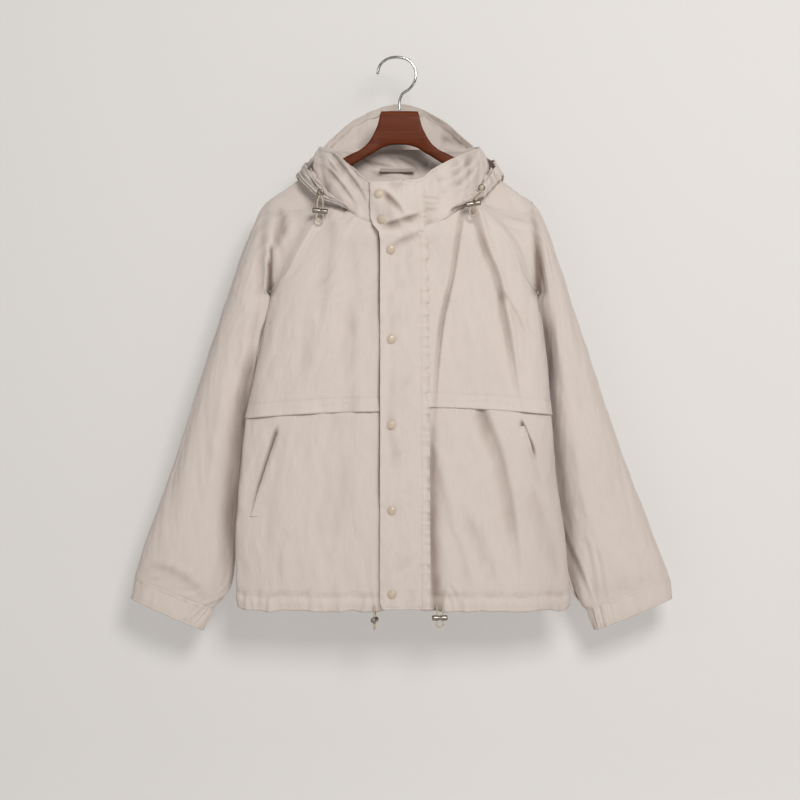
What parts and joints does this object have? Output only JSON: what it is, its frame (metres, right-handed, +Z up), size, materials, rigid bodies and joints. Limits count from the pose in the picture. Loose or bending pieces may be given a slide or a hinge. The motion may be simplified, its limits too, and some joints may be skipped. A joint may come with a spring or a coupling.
{
  "type": "raglan jacket on a hanger",
  "caption": "Hooded raglan jacket in pale crinkled cloth, closed with a snapped placket, hanging hollow and open on a wooden hanger with a wire hook.",
  "frame": {"origin": "the inside top of the hanger's hook, where a rail carries it", "axes": "+Z up along the hook's shank, the jacket's front faces -Y, +X to the right as seen from the front"},
  "size_m": [0.8957, 0.1879, 0.9492],
  "materials": {
    "cloth": "matte crinkled cotton blend with a faint sheen",
    "hanger_wood": "dark red-brown stain under satin varnish",
    "hanger_hook": "bright plated wire",
    "eyelet": "dark antiqued metal",
    "cord": "round woven cord",
    "cord_lock": "moulded, satin",
    "snap": "painted to match the cloth, satin"
  },
  "bodies": {
    "root": {"hanger_wood": "hanger_wood", "hanger_hook": "hanger_hook", "back": "cloth", "front_left_upper": "cloth", "front_left_lower": "cloth", "front_right_upper": "cloth", "front_right_lower": "cloth", "sleeve_left": "cloth", "sleeve_right": "cloth", "cuff_left": "cloth", "cuff_right": "cloth", "collar": "cloth", "placket": "cloth", "hood": "cloth", "hood_casing": "cloth", "pocket_welt_left": "cloth", "pocket_welt_right": "cloth", "neck_tape": "cloth", "hood_eyelet_left": "eyelet", "hood_eyelet_right": "eyelet", "hood_left_cord": "cord", "hood_left_cord_tail": "cord", "hood_left_cord_lock": "cord_lock", "hood_right_cord": "cord", "hood_right_cord_tail": "cord", "hood_right_cord_lock": "cord_lock", "hem_left_cord": "cord", "hem_left_cord_tail": "cord", "hem_left_cord_lock": "cord_lock", "hem_right_cord": "cord", "hem_right_cord_tail": "cord", "hem_right_cord_lock": "cord_lock", "snap_1": "snap", "snap_2": "snap", "snap_3": "snap", "snap_4": "snap", "snap_5": "snap", "snap_6": "snap", "snap_7": "snap"}
  },
  "joints": []
}
